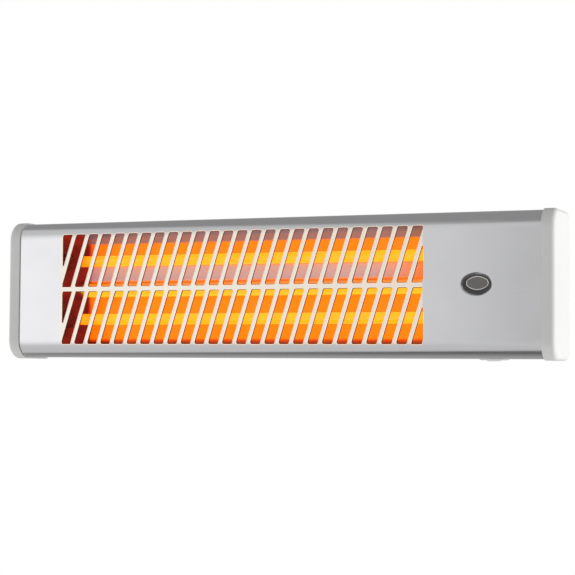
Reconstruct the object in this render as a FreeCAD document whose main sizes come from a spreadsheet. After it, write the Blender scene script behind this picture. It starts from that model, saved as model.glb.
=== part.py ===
"""Wall-mounted infrared heater: two quartz tubes behind a slotted sheet-metal front.

Frame: origin at the centre of the two wall screws, on the wall. +X runs along the heater to its
control end, -Y points away from the wall into the room, +Z is up. Millimetres and degrees.
"""
import FreeCAD, Part
import math
import os
import re

import Sketcher
from FreeCAD import Placement, Rotation, Vector

DRIVING_SIZES = {
    # folded front casing
    "casing_length": 510,
    "casing_height": 124.6,
    "casing_depth": 58,
    "metal": 0.7,
    "front_corner": 16,
    "back_corner": 3,
    "flange": 12,
    # slotted grille, two rows of leaning bars
    "slot_pitch": 13.5,
    "bar_width": 3.4,
    "bar_lean": 15.2,
    "slot_height": 49,
    "row_gap": 3.4,
    "slot_corner": 1.9,
    "first_bar": -204.8,
    "window_left": -202.1,
    "window_right": 145.9,
    # moulded end caps
    "cap_wall": 1.2,
    "cap_play": 0.1,
    "cap_reach": 8,
    "cap_end": 3.6,
    "cap_edge": 4,
    "cap_back_corner": 9,
    "cup_play": 0.5,
    "cap_screw_in": 4,
    "cap_screw_height": 38,
    "cap_screw_length": 11,
    "post_depth": 16,
    "post_tall": 9,
    "post_reach": 17,
    # screws of one size throughout
    "screw_radius": 1.5,
    "screw_play": 0.1,
    "screw_length": 7,
    # back panel and its vents
    "panel_thick": 0.8,
    "panel_play": 2.6,
    "panel_short": 1,
    "panel_screw_out": 238,
    "vent_length": 30,
    "vent_width": 4,
    "vent_left": -200,
    "vent_low": -36,
    "vent_run": 330,
    "vent_rise": 72,
    # wall bracket and tilting ears
    "wall_gap": 50,
    "pivot_out": 30,
    "bracket_thick": 2,
    "bracket_height": 50,
    "bracket_half": 61,
    "arm_radius": 10,
    "ear_gap": 1,
    "ear_thick": 1.5,
    "ear_radius": 9,
    "ear_height": 36,
    "ear_foot": 14,
    "rivet_out": 48,
    "rivet_height": 12,
    "pivot_radius": 2.5,
    "pivot_play": 0.08,
    "wall_hole": 2.75,
    "wall_spacing": 80,
    # quartz tubes, coils and their end fittings
    "tube_spacing": 54,
    "tube_behind": 27,
    "tube_radius": 5,
    "tube_bore": 4,
    "tube_left": -216.5,
    "tube_right": 162.5,
    "coil_radius": 2.8,
    "coil_left": -196,
    "coil_right": 151,
    "ceramic_radius": 8,
    "ceramic_length": 18,
    "groove_radius": 6.2,
    "groove_width": 1.4,
    "pin_radius": 1.5,
    "pin_out": 10,
    # tube brackets and reflectors
    "left_bracket": -217,
    "right_bracket": 163,
    "holder_thick": 1,
    "holder_height": 112,
    "holder_foot": 12,
    "holder_corner": 8,
    "holder_screw_in": 7,
    "holder_screw_height": 44,
    "holder_screw_length": 5,
    "trough_front": 11,
    "trough_depth": 26,
    "trough_half": 26.5,
    "mirror_thick": 0.5,
    # indicator lamp
    "lamp_centre": 192,
    "dish_width": 27.5,
    "dish_height": 20,
    "dish_end": 8,
    "dish_depth": 3.8,
    "dish_slope": 45,
    "lens_width": 18,
    "lens_height": 10.4,
    "lens_end": 3.3,
    "lens_lift": 1,
    "lens_rise": 1.4,
    "lens_rim": 1.5,
    "lens_rim_thick": 1.2,
    "lamp_body": 13,
    "neon_radius": 2.4,
    "neon_length": 10,
    # pull switch
    "switch_centre": 200,
    "switch_inset": 28,
    "switch_tall": 30,
    "bush_flange": 12.5,
    "bush_thick": 1.2,
    "nozzle_radius": 6,
    "nozzle_out": 0.8,
    "bush_neck": 6,
    "rod_radius": 2,
    "switch_half_long": 13,
    "switch_half_wide": 11,
    "switch_wall": 1.6,
    "nut_tall": 2.4,
    "collar_rise": 20,
    "spring_gap": 4,
    "spring_wire": 0.3,
    "spring_radius": 3.3,
    "cam_radius": 6.5,
    "cam_thick": 4.5,
    "cam_rise": 20,
    "cam_back": 10,
    # internal wires behind the reflectors
    "wire_line": 60,
    "wire_apart": 6,
    "wire_radius": 1.1,
    # terminal block and earth screw
    "block_left": 200,
    "block_long": 22,
    "block_thick": 14,
    "block_low": 14,
    "block_tall": 32,
    "way_pitch": 10,
    "way_radius": 2.2,
    "earth_out": 182,
    "earth_height": 42,
    # mains inlet
    "inlet_centre": 214,
    "inlet_height": -30,
    "inlet_bore": 3.6,
}
SLOT_COLUMNS = 24  # full slots in a row; three cut-off ones close the row
BAR_COUNT = 26
VENT_COLUMNS = 8
VENT_ROWS = 4
SPRING_TURNS = 7
CAM_NOTCHES = 6
TERMINAL_WAYS = 3
HEXAGON = 6
SAME = 0.01  # closer than this, two positions are one

doc = FreeCAD.newDocument("QuartzHeater")
sheet = doc.addObject("Spreadsheet::Sheet", "Dims")
for row, (alias, value) in enumerate(DRIVING_SIZES.items(), start=1):
    sheet.set(f"A{row}", alias)
    sheet.set(f"B{row}", str(value))
    sheet.setAlias(f"B{row}", alias)
doc.recompute()

nodes = []


def linked(expression):
    """The expression with every size name turned into its cell in the sheet."""
    return re.sub(r"[a-z][a-z_]+", lambda word: "Dims." + word.group(), str(expression))


def size(expression):
    return float(sheet.evalExpression(linked(expression)))


def bind(item, name, expression):
    setattr(item, name, size(expression))
    item.setExpression(name, linked(expression))


def place(item, x=0, y=0, z=0, turn=None):
    """Puts the item's own origin at (x, y, z), each an expression."""
    item.Placement = Placement(Vector(size(x), size(y), size(z)), turn or Rotation())
    for name, expression in zip("xyz", (x, y, z)):
        item.setExpression(f".Placement.Base.{name}", linked(expression))
    return item


def keep(item, label):
    """Makes the item a sub-part of its own."""
    item.Label = label
    nodes.append(item)
    return item


# --- sketches and features ---------------------------------------------------------------------


def origin_feature(body, role):
    return next(item for item in body.Origin.OriginFeatures if item.Role == role)


def new_body(label):
    return keep(doc.addObject("PartDesign::Body", label), label)


def new_sketch(body, plane, offset=0):
    """A sketch on one of the body's origin planes, moved along the plane's normal."""
    item = body.newObject("Sketcher::SketchObject", body.Name + "_outline")
    item.AttachmentSupport = [(origin_feature(body, plane), "")]
    item.MapMode = "FlatFace"
    item.AttachmentOffset = Placement(Vector(0, 0, size(offset)), Rotation())
    return item


def hold(sketch, kind, *references, to):
    """Adds a dimension to the sketch and binds it to an expression."""
    index = sketch.addConstraint(Sketcher.Constraint(kind, *references, size(to)))
    sketch.setExpression(f"Constraints[{index}]", linked(to))


def rectangle(sketch, left, right, low, high, corners=(0, 0, 0, 0)):
    """A rectangle with its own radius at each corner: low left, low right, high right, high left."""
    x_low, x_high, y_low, y_high = (size(edge) for edge in (left, right, low, high))
    places = ((x_low, y_low, 1, 1), (x_high, y_low, -1, 1), (x_high, y_high, -1, -1), (x_low, y_high, 1, -1))
    radii = [size(corner) for corner in corners]
    arcs = {}
    starts, ends = [], []
    for index, ((x, y, inward_x, inward_y), radius) in enumerate(zip(places, radii)):
        along_x = Vector(x + inward_x * radius, y, 0)
        along_y = Vector(x, y + inward_y * radius, 0)
        before, after = (along_y, along_x) if index % 2 == 0 else (along_x, along_y)
        starts.append(after)
        ends.append(before)
    sides = []
    for index in range(4):
        line = Part.LineSegment(starts[index], ends[(index + 1) % 4])
        sides.append(sketch.addGeometry(line, False))
    for index, radius in enumerate(radii):
        if radius > 0:
            x, y, inward_x, inward_y = places[index]
            middle = Vector(x + inward_x * radius, y + inward_y * radius, 0)
            first = math.radians(180 + 90 * index)
            circle = Part.Circle(middle, Vector(0, 0, 1), radius)
            arcs[index] = sketch.addGeometry(Part.ArcOfCircle(circle, first, first + math.pi / 2), False)
    for index in range(4):
        before, after = sides[index - 1], sides[index]
        if index in arcs:
            sketch.addConstraint(Sketcher.Constraint("Tangent", before, 2, arcs[index], 1))
            sketch.addConstraint(Sketcher.Constraint("Tangent", arcs[index], 2, after, 1))
            hold(sketch, "Radius", arcs[index], to=corners[index])
        else:
            sketch.addConstraint(Sketcher.Constraint("Coincident", before, 2, after, 1))
        direction = "Horizontal" if index % 2 == 0 else "Vertical"
        sketch.addConstraint(Sketcher.Constraint(direction, sides[index]))
    hold(sketch, "DistanceY", -1, 1, sides[0], 1, to=low)
    hold(sketch, "DistanceX", -1, 1, sides[1], 1, to=right)
    hold(sketch, "DistanceY", -1, 1, sides[2], 1, to=high)
    hold(sketch, "DistanceX", -1, 1, sides[3], 1, to=left)


def circles(sketch, radius, centres):
    """Circles of one radius about centres given as pairs of expressions."""
    for x, y in centres:
        circle = Part.Circle(Vector(size(x), size(y), 0), Vector(0, 0, 1), size(radius))
        index = sketch.addGeometry(circle, False)
        hold(sketch, "Radius", index, to=radius)
        hold(sketch, "DistanceX", -1, 1, index, 3, to=x)
        hold(sketch, "DistanceY", -1, 1, index, 3, to=y)


def rounded_polygon(sketch, corners, radii):
    """A closed outline through (x, y) corners in order, each with its own radius, 0 for a sharp one."""
    stretches = []
    for index, (corner, radius) in enumerate(zip(corners, radii)):
        here = Vector(*corner, 0)
        if radius == 0:
            stretches.append((here, None, here))
            continue
        back = (Vector(*corners[index - 1], 0) - here).normalize()
        ahead = (Vector(*corners[(index + 1) % len(corners)], 0) - here).normalize()
        half = back.getAngle(ahead) / 2
        reach = radius / math.tan(half)
        middle = here + (back + ahead).normalize() * (radius / math.sin(half))
        mid_arc = middle + (here - middle).normalize() * radius
        stretches.append((here + back * reach, mid_arc, here + ahead * reach))
    for index, (start, mid_arc, end) in enumerate(stretches):
        if mid_arc is not None:
            sketch.addGeometry(Part.Arc(start, mid_arc, end), False)
        sketch.addGeometry(Part.LineSegment(end, stretches[(index + 1) % len(stretches)][0]), False)


def oval(sketch, width, height, centre_x=0, centre_y=0):
    """A stadium: a rectangle whose short sides are half circles."""
    half_w, half_h = f"({width})/2", f"({height})/2"
    left, right = f"({centre_x})-{half_w}", f"({centre_x})+{half_w}"
    low, high = f"({centre_y})-{half_h}", f"({centre_y})+{half_h}"
    radius = f"{half_h}-0.01"
    rectangle(sketch, left, right, low, high, (radius,) * 4)


def blunt_oval(sketch, width, height, end_radius, centre_x=0, centre_y=0):
    """An oval of four arcs: one of end_radius at each end, joined by two flatter ones."""
    half_h = f"(({height})/2)"
    reach, rise = f"(({width})/2-({end_radius}))", f"({half_h}-({end_radius}))"
    flat = f"({half_h}+({reach}^2-{rise}^2)/(2*{rise}))"
    x, y, out = size(centre_x), size(centre_y), size(reach)
    drop = size(flat) - size(half_h)
    joint = math.atan2(drop, out)
    arcs = []
    for middle_x, middle_y, radius, first, last in (
        (x + out, y, size(end_radius), -joint, joint),
        (x, y - drop, size(flat), joint, math.pi - joint),
        (x - out, y, size(end_radius), math.pi - joint, math.pi + joint),
        (x, y + drop, size(flat), math.pi + joint, 2 * math.pi - joint),
    ):
        circle = Part.Circle(Vector(middle_x, middle_y, 0), Vector(0, 0, 1), radius)
        arcs.append(sketch.addGeometry(Part.ArcOfCircle(circle, first, last), False))
    for before, after in zip(arcs, arcs[1:] + arcs[:1]):
        sketch.addConstraint(Sketcher.Constraint("Tangent", before, 2, after, 1))
    for end, side in ((arcs[0], "+"), (arcs[2], "-")):
        hold(sketch, "Radius", end, to=end_radius)
        hold(sketch, "DistanceX", -1, 1, end, 3, to=f"({centre_x}){side}{reach}")
        hold(sketch, "DistanceY", -1, 1, end, 3, to=centre_y)
    for side in (arcs[1], arcs[3]):
        hold(sketch, "Radius", side, to=flat)


def pad(body, sketch, length, symmetric=False, backwards=False, taper=None):
    item = body.newObject("PartDesign::Pad", body.Name + "_pad")
    item.Profile = sketch
    bind(item, "Length", length)
    item.SideType = "Symmetric" if symmetric else "One side"
    item.Reversed = backwards
    if taper is not None:
        bind(item, "TaperAngle", taper)
    doc.recompute()
    return item


def pocket(body, sketch, length=None, symmetric=False, backwards=False, taper=None):
    """Cuts the sketch out of the body, right through when no length is given."""
    before = body.Shape.Volume
    item = body.newObject("PartDesign::Pocket", body.Name + "_pocket")
    item.Profile = sketch
    item.SideType = "Symmetric" if symmetric else "One side"
    item.Reversed = backwards
    if length is None:
        item.Type = "ThroughAll"
    else:
        bind(item, "Length", length)
    if taper is not None:
        bind(item, "TaperAngle", taper)
    doc.recompute()
    if not body.Shape.Volume < before:
        raise RuntimeError(f"{item.Name} removes nothing")
    return item


def pattern(body, original, axis, length, count):
    item = body.newObject("PartDesign::LinearPattern", body.Name + "_row")
    item.Originals = [original]
    item.Direction = (origin_feature(body, axis), [""])
    bind(item, "Length", length)
    item.Occurrences = count
    body.Tip = item
    doc.recompute()
    return item


def revolved(body, outline, axis):
    """Turns an outline of (distance, height) corners in the XZ plane about one of the body's axes."""
    section = new_sketch(body, "XZ_Plane")
    rounded_polygon(section, outline, [0] * len(outline))
    item = body.newObject("PartDesign::Revolution", body.Name + "_turned")
    item.Profile = section
    item.ReferenceAxis = (origin_feature(body, axis), [""])
    item.Angle = 360
    doc.recompute()
    return item


def round_edges(body, base, radius, chosen):
    """Fillets the edges of the base for which chosen(edge) is true."""
    names = [f"Edge{index}" for index, edge in enumerate(base.Shape.Edges, start=1) if chosen(edge)]
    item = body.newObject("PartDesign::Fillet", body.Name + "_fillet")
    item.Base = (base, names)
    bind(item, "Radius", radius)
    doc.recompute()
    return item


# --- plain solids ------------------------------------------------------------------------------


def block(name, low, high):
    """A box between two corners, each a triple of expressions."""
    item = doc.addObject("Part::Box", name)
    for side, start, end in zip(("Length", "Width", "Height"), low, high):
        bind(item, side, f"({end})-({start})")
    return place(item, *low)


ALONG = {
    "x": Rotation(Vector(0, 1, 0), 90),
    "y": Rotation(Vector(1, 0, 0), -90),
    "z": Rotation(),
}


def rod(name, start, axis, radius, length):
    """A cylinder from the start point along +x, +y or +z."""
    item = doc.addObject("Part::Cylinder", name)
    bind(item, "Radius", radius)
    bind(item, "Height", length)
    return place(item, *start, ALONG[axis])


def hexagon(name, start, axis, across, length):
    """A hexagonal prism; across is the distance between its corners, halved."""
    item = doc.addObject("Part::Prism", name)
    item.Polygon = HEXAGON
    bind(item, "Circumradius", across)
    bind(item, "Height", length)
    return place(item, *start, ALONG[axis])


def fused(name, *pieces):
    item = doc.addObject("Part::MultiFuse", name)
    item.Shapes = list(pieces)
    return item


def without(name, base, *tools):
    """The base with every tool cut out of it."""
    for index, tool in enumerate(tools):
        item = doc.addObject("Part::Cut", f"{name}_{index}")
        item.Base = base
        item.Tool = tool
        base = item
    return base


def group(label, pieces):
    """One sub-part made of separate equal solids."""
    item = doc.addObject("Part::Compound", label + "_set")
    item.Links = list(pieces)
    return keep(item, label)


# --- casing, caps and back ---------------------------------------------------------------------

FRONT = "-(wall_gap+casing_depth)"  # the casing's front face
PANEL_FACE = "-(wall_gap+metal)"  # the back panel's rear face
PANEL_INSIDE = "-(wall_gap+metal+panel_thick)"
TUBE_LINE = "-(wall_gap+casing_depth-tube_behind)"
ROWS = (1, -1)
SCREW_HOLE = "screw_radius+screw_play"


def slot_corners(column):
    """The four corners of a full slot in the lower row, right of the given bar."""
    left = size(f"first_bar+{column}*slot_pitch+bar_width/2")
    right = size(f"first_bar+{column + 1}*slot_pitch-bar_width/2")
    lean = size("bar_lean")
    low, high = size("-row_gap/2-slot_height"), size("-row_gap/2")
    return [(left, low), (right, low), (right + lean, high), (left + lean, high)]


def clipped(corners, edge, side):
    """The part of a convex outline on one side of an upright line at x = edge."""
    kept = []
    for (x_one, y_one), (x_two, y_two) in zip(corners, corners[1:] + corners[:1]):
        if side * (x_one - edge) >= 0:
            kept.append((x_one, y_one))
        if (x_one - edge) * (x_two - edge) < 0:
            share = (edge - x_one) / (x_two - x_one)
            kept.append((edge, y_one + share * (y_two - y_one)))
    return kept


def make_casing():
    body = new_body("front_casing")
    outline = new_sketch(body, "YZ_Plane")
    half = "casing_height/2"
    corners = ("front_corner", "back_corner", "back_corner", "front_corner")
    rectangle(outline, 0, "casing_depth", f"-{half}", half, corners)
    pad(body, outline, "casing_length", symmetric=True)

    hollow = new_sketch(body, "YZ_Plane")
    inner = f"({half}-metal)"
    corners = ("front_corner-metal", "back_corner-metal", "back_corner-metal", "front_corner-metal")
    rectangle(hollow, "metal", "casing_depth-metal", f"-{inner}", inner, corners)
    pocket(body, hollow, symmetric=True)

    back = new_sketch(body, "YZ_Plane")
    opening = f"({half}-flange)"
    rectangle(back, "casing_depth-2*metal", "casing_depth+metal", f"-{opening}", opening)
    pocket(body, back, symmetric=True)

    slot = new_sketch(body, "XZ_Plane")
    rounded_polygon(slot, slot_corners(1), [size("slot_corner")] * 4)
    first_slot = pocket(body, slot, "2*metal")
    rows = pattern(body, first_slot, "X_Axis", f"{SLOT_COLUMNS - 1}*slot_pitch", SLOT_COLUMNS)
    rows.Direction2 = (origin_feature(body, "Z_Axis"), [""])
    bind(rows, "Length2", "slot_height+row_gap")
    rows.Occurrences2 = 2
    doc.recompute()

    ends = new_sketch(body, "XZ_Plane")
    radius = size("slot_corner/2")
    cut_slots = [clipped(slot_corners(column), size("window_left"), 1) for column in (-1, 0)]
    cut_slots.append(clipped(slot_corners(BAR_COUNT - 1), size("window_right"), -1))
    for corners in cut_slots:
        rounded_polygon(ends, corners, [radius] * len(corners))
    cut_off = pocket(body, ends, "2*metal")
    pattern(body, cut_off, "Z_Axis", "slot_height+row_gap", 2)

    dish = new_sketch(body, "XZ_Plane")
    outer = ("dish_width+2*metal", "dish_height+2*metal", "dish_end+metal")
    blunt_oval(dish, *outer, "lamp_centre")
    pad(body, dish, "dish_depth", backwards=True, taper="-dish_slope")
    bowl = new_sketch(body, "XZ_Plane")
    blunt_oval(bowl, "dish_width", "dish_height", "dish_end", "lamp_centre")
    pocket(body, bowl, "dish_depth-metal", taper="-dish_slope")
    lens_hole = new_sketch(body, "XZ_Plane")
    loose = ("lens_width+2*cap_play", "lens_height+2*cap_play", "lens_end+cap_play")
    blunt_oval(lens_hole, *loose, "lamp_centre", "lens_lift")
    pocket(body, lens_hole, "2*dish_depth")

    bush_hole = new_sketch(body, "XY_Plane")
    circles(bush_hole, "bush_neck+cap_play", [("switch_centre", "switch_inset")])
    pocket(body, bush_hole)

    screw_holes = new_sketch(body, "XZ_Plane", "-casing_depth")
    circles(screw_holes, SCREW_HOLE, panel_screw_places())
    pocket(body, screw_holes, "2*metal", backwards=True)
    place(body, 0, FRONT, 0)


def panel_screw_places():
    """Screws through the casing's rear flanges, three above and three below."""
    height = "((casing_height-flange-metal)/2)"
    return [(x, f"{side}*{height}") for side in ROWS for x in ("-panel_screw_out", "0", "panel_screw_out")]


def cap_screw_places():
    """Screws that pass the back panel into the end cap's two posts."""
    return [f"{side}*cap_screw_height" for side in ROWS]


def make_end_cap(label, turn):
    """A moulded cup that slips over the casing's end, with two screw posts."""
    body = new_body(label)
    grown = "(cap_wall+cap_play)"
    half = f"(casing_height/2+{grown})"
    outline = new_sketch(body, "YZ_Plane")
    corners = (f"front_corner+{grown}", "cap_back_corner", "cap_back_corner", f"front_corner+{grown}")
    rectangle(outline, f"-{grown}", f"casing_depth+{grown}", f"-{half}", half, corners)
    shell = pad(body, outline, "cap_reach+cap_end")
    length = size("cap_reach+cap_end")
    round_edges(body, shell, "cap_edge", lambda edge: all(abs(v.X - length) < SAME for v in edge.Vertexes))

    cup = new_sketch(body, "YZ_Plane")
    inner = "(casing_height/2+cap_play)"
    front, back = "front_corner+cap_play", "back_corner+cap_play"
    corners = (front, back, back, front)
    rectangle(cup, "-cap_play", "casing_depth+cap_play", f"-{inner}", inner, corners)
    pocket(body, cup, "cap_reach+cup_play", backwards=True)

    posts = new_sketch(body, "YZ_Plane", "cap_reach+cup_play")
    for height in cap_screw_places():
        rear = "(casing_depth-metal-panel_thick)"
        rectangle(posts, f"{rear}-post_depth", rear, f"({height})-post_tall/2", f"({height})+post_tall/2")
    pad(body, posts, "post_reach", backwards=True)
    holes = new_sketch(body, "XZ_Plane", "-(casing_depth-metal-panel_thick)")
    circles(holes, "screw_radius+screw_play/2", [("-cap_screw_in", height) for height in cap_screw_places()])
    pocket(body, holes, "cap_screw_length+screw_radius", backwards=True)
    place(body, f"{turn}*(casing_length/2-cap_reach)", FRONT, 0,
          Rotation(Vector(0, 1, 0), 0 if turn > 0 else 180))


def make_back_panel():
    """A flat galvanised sheet inside the casing's rear flanges, with two rows of vents."""
    body = new_body("back_panel")
    half_height = "(casing_height/2-metal-panel_play)"
    half_length = "(casing_length/2-panel_short)"
    sheet_outline = new_sketch(body, "XZ_Plane")
    corners = ("back_corner",) * 4
    rectangle(sheet_outline, f"-{half_length}", half_length, f"-{half_height}", half_height, corners)
    pad(body, sheet_outline, "panel_thick")
    vent = new_sketch(body, "XZ_Plane")
    oval(vent, "vent_length", "vent_width", "vent_left", "vent_low")
    first_vent = pocket(body, vent, "2*panel_thick", symmetric=True)
    vents = pattern(body, first_vent, "X_Axis", "vent_run", VENT_COLUMNS)
    vents.Direction2 = (origin_feature(body, "Z_Axis"), [""])
    bind(vents, "Length2", "vent_rise")
    vents.Occurrences2 = VENT_ROWS
    doc.recompute()
    holes = new_sketch(body, "XZ_Plane")
    side = "(casing_length/2-cap_reach-cap_screw_in)"
    cap_screws = [(f"{end}*{side}", height) for end in ROWS for height in cap_screw_places()]
    circles(holes, SCREW_HOLE, panel_screw_places() + cap_screws)
    circles(holes, SCREW_HOLE, holder_screw_places() + ear_rivet_places())
    circles(holes, SCREW_HOLE, [("earth_out", "earth_height")])
    circles(holes, "inlet_bore+2.5", [("inlet_centre", "inlet_height")])
    pocket(body, holes, "4*panel_thick", symmetric=True)
    place(body, 0, PANEL_FACE, 0)


def screw(name, x, z, grip, length):
    """A pan-head screw entering from behind the heater; grip is the Y of the face under its head."""
    head = rod(name + "_head", (x, grip, z), "y", "2*screw_radius", "screw_radius")
    shank = rod(name + "_shank", (x, f"({grip})-({length})", z), "y", "screw_radius", length)
    turned = fused(name + "_turned", head, shank)
    slot_low = (f"({x})-1.5*screw_radius", f"({grip})+0.6*screw_radius", f"({z})-0.2*screw_radius")
    slot_high = (f"({x})+1.5*screw_radius", f"({grip})+2*screw_radius", f"({z})+0.2*screw_radius")
    return without(name, turned, block(name + "_slot", slot_low, slot_high))


def make_panel_screws():
    pieces = []
    for index, (x, z) in enumerate(panel_screw_places()):
        pieces.append(screw(f"panel_screw_{index}", x, z, "-wall_gap", "screw_length"))
    group("back_panel_screws", pieces)
    pieces = []
    side = "(casing_length/2-cap_reach-cap_screw_in)"
    for end in ROWS:
        for index, height in enumerate(cap_screw_places()):
            name = f"cap_screw_{'right' if end > 0 else 'left'}_{index}"
            pieces.append(screw(name, f"{end}*{side}", height, PANEL_FACE, "cap_screw_length"))
    group("end_cap_screws", pieces)


# --- wall bracket and tilt ---------------------------------------------------------------------


def ear_rivet_places():
    return [(f"{side}*rivet_out", z) for side in ROWS for z in ("-rivet_height", "rivet_height")]


def make_wall_bracket():
    """A channel of strip steel: a plate on the wall with an arm at each end for the pivot bolt."""
    body = new_body("wall_bracket")
    half = "(bracket_height/2)"
    plate = new_sketch(body, "XZ_Plane")
    rectangle(plate, "-bracket_half", "bracket_half", f"-{half}", half)
    pad(body, plate, "bracket_thick")
    for side in ROWS:
        arm = new_sketch(body, "YZ_Plane", f"{side}*bracket_half")
        lug(arm, 0, -size("pivot_out"), size("bracket_height/2"), size("arm_radius"))
        pad(body, arm, "bracket_thick", backwards=side > 0)
    pivots = new_sketch(body, "YZ_Plane")
    circles(pivots, "pivot_radius+pivot_play", [("-pivot_out", 0)])
    pocket(body, pivots, symmetric=True)
    holes = new_sketch(body, "XZ_Plane")
    circles(holes, "wall_hole", [("-wall_spacing/2", 0), ("wall_spacing/2", 0)])
    pocket(body, holes, "4*bracket_thick", symmetric=True)
    place(body, 0, 0, 0)


def lug(sketch, base, pivot, half_height, radius):
    """A side view in Y and Z: straight along the base, narrowing to a round end about the pivot."""
    outward = 1 if pivot > base else -1
    tip = pivot + outward * radius
    shoulder = base + outward * radius
    corners = [(base, -half_height), (shoulder, -half_height), (tip, -radius),
               (tip, radius), (shoulder, half_height), (base, half_height)]
    tip_radius = 0.6 * radius
    rounded_polygon(sketch, corners, (0, 0.5 * radius, tip_radius, tip_radius, 0.5 * radius, 0))


def make_ears():
    """A foot riveted to the back panel and an ear turned out round the pivot, one at each side."""
    for side, label in ((1, "right_tilt_ear"), (-1, "left_tilt_ear")):
        body = new_body(label)
        outer = "(bracket_half-bracket_thick-ear_gap)"
        foot = new_sketch(body, "XZ_Plane")
        half = "(ear_height/2)"
        inner_x, outer_x = f"{side}*({outer}-ear_foot)", f"{side}*{outer}"
        left, right = (inner_x, outer_x) if side > 0 else (outer_x, inner_x)
        rectangle(foot, left, right, f"-{half}", half)
        pad(body, foot, "ear_thick", backwards=True)
        ear = new_sketch(body, "YZ_Plane", f"{side}*{outer}")
        lug(ear, 0, size("wall_gap+metal-pivot_out"), size(half), size("ear_radius"))
        pad(body, ear, "ear_thick", backwards=side > 0)
        hole = new_sketch(body, "YZ_Plane")
        circles(hole, "pivot_radius+pivot_play", [("wall_gap+metal-pivot_out", 0)])
        pocket(body, hole, symmetric=True)
        rivets = new_sketch(body, "XZ_Plane")
        circles(rivets, SCREW_HOLE, [(x, z) for x, z in ear_rivet_places() if x.startswith(f"{side}*")])
        pocket(body, rivets, "4*bracket_thick", symmetric=True)
        place(body, 0, PANEL_FACE, 0)


def ring(name, start, axis, outer, inner, length):
    """A disc with a round hole."""
    disc = rod(name + "_disc", start, axis, outer, length)
    hole = rod(name + "_hole", start, axis, inner, length)
    return without(name, disc, hole)


def hexagon_nut(name, start, axis, across, bore, length):
    body = hexagon(name + "_hex", start, axis, across, length)
    hole = rod(name + "_hole", start, axis, f"{bore}+0.02", length)
    return without(name, body, hole)


def make_pivot_hardware():
    """At each side, from outside in: bolt head, arm, flat washer, ear, spring washer, nut."""
    bolts, nuts, washers, rivets = [], [], [], []
    ear_inside = "(bracket_half-bracket_thick-ear_gap-ear_thick)"
    flat, spring, nut_thick, head_thick, past_nut = "0.8", "1.2", "4", "3", "7"
    across = "(1.84*pivot_radius)"
    bore = "pivot_radius+pivot_play"

    def at(side, inner, thickness):
        """Start of a piece whose inner face is that far from the middle of the heater."""
        return (inner if side > 0 else f"-({inner})-({thickness})", "-pivot_out", 0)

    for side in ROWS:
        tag = "right" if side > 0 else "left"
        grip = f"bracket_half-({ear_inside}-{past_nut})"
        shank = rod(f"bolt_shank_{tag}", at(side, f"{ear_inside}-{past_nut}", grip), "x", "pivot_radius", grip)
        head = hexagon(f"bolt_head_{tag}", at(side, "bracket_half", head_thick), "x", across, head_thick)
        bolts.append(fused(f"bolt_{tag}", shank, head))
        flat_at = at(side, f"{ear_inside}+ear_thick+0.1", flat)
        washers.append(ring(f"washer_{tag}", flat_at, "x", "2.2*pivot_radius", bore, flat))
        spring_at = at(side, f"{ear_inside}-0.2-{spring}", spring)
        washers.append(ring(f"spring_washer_{tag}", spring_at, "x", across, bore, spring))
        nut_at = at(side, f"{ear_inside}-0.4-{spring}-{nut_thick}", nut_thick)
        nuts.append(hexagon_nut(f"nut_{tag}", nut_at, "x", across, "pivot_radius", nut_thick))
    for index, (x, z) in enumerate(ear_rivet_places()):
        head = rod(f"rivet_head_{index}", (x, f"{PANEL_FACE}+ear_thick", z), "y", "2*screw_radius", "1")
        shank = rod(f"rivet_shank_{index}", (x, PANEL_INSIDE, z), "y", "screw_radius", "panel_thick+ear_thick")
        tail = rod(f"rivet_tail_{index}", (x, f"{PANEL_INSIDE}-0.9", z), "y", "1.7*screw_radius", "0.9")
        rivets.append(fused(f"rivet_{index}", head, shank, tail))
    group("pivot_bolts", bolts)
    group("pivot_nuts", nuts)
    group("pivot_washers", washers)
    group("ear_rivets", rivets)


# --- tubes, reflectors and holders -------------------------------------------------------------


def make_tubes():
    for side, tag in ((1, "upper"), (-1, "lower")):
        height = f"{side}*tube_spacing/2"
        long = "tube_right-tube_left"
        glass = rod(f"{tag}_glass", ("tube_left", TUBE_LINE, height), "x", "tube_radius", long)
        bore = rod(f"{tag}_bore", ("tube_left", TUBE_LINE, height), "x", "tube_bore", long)
        keep(without(f"{tag}_tube", glass, bore), f"{tag}_quartz_tube")
        coil = rod(f"{tag}_coil", ("coil_left", TUBE_LINE, height), "x", "coil_radius", "coil_right-coil_left")
        keep(coil, f"{tag}_heating_coil")


def make_ceramics():
    """Turned ceramic sleeves: blind bore for the tube, groove for the holder, hole for the pin."""
    half = size("ceramic_length/2")
    radius, groove, slit = size("ceramic_radius"), size("groove_radius"), size("groove_width/2")
    bore, hole = size("tube_radius+cap_play"), size("pin_radius+0.05")
    shoulder = 0
    outline = [(-half, hole), (shoulder, hole), (shoulder, bore), (half, bore), (half, radius),
               (slit, radius), (slit, groove), (-slit, groove), (-slit, radius), (-half, radius)]
    for end, holder in (("left", "left_bracket"), ("right", "right_bracket")):
        for side, tag in ((1, "upper"), (-1, "lower")):
            body = new_body(f"{tag}_{end}_ceramic")
            revolved(body, outline, "X_Axis")
            turn = Rotation(Vector(0, 0, 1), 0 if end == "left" else 180)
            place(body, holder, TUBE_LINE, f"{side}*tube_spacing/2", turn)


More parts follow.
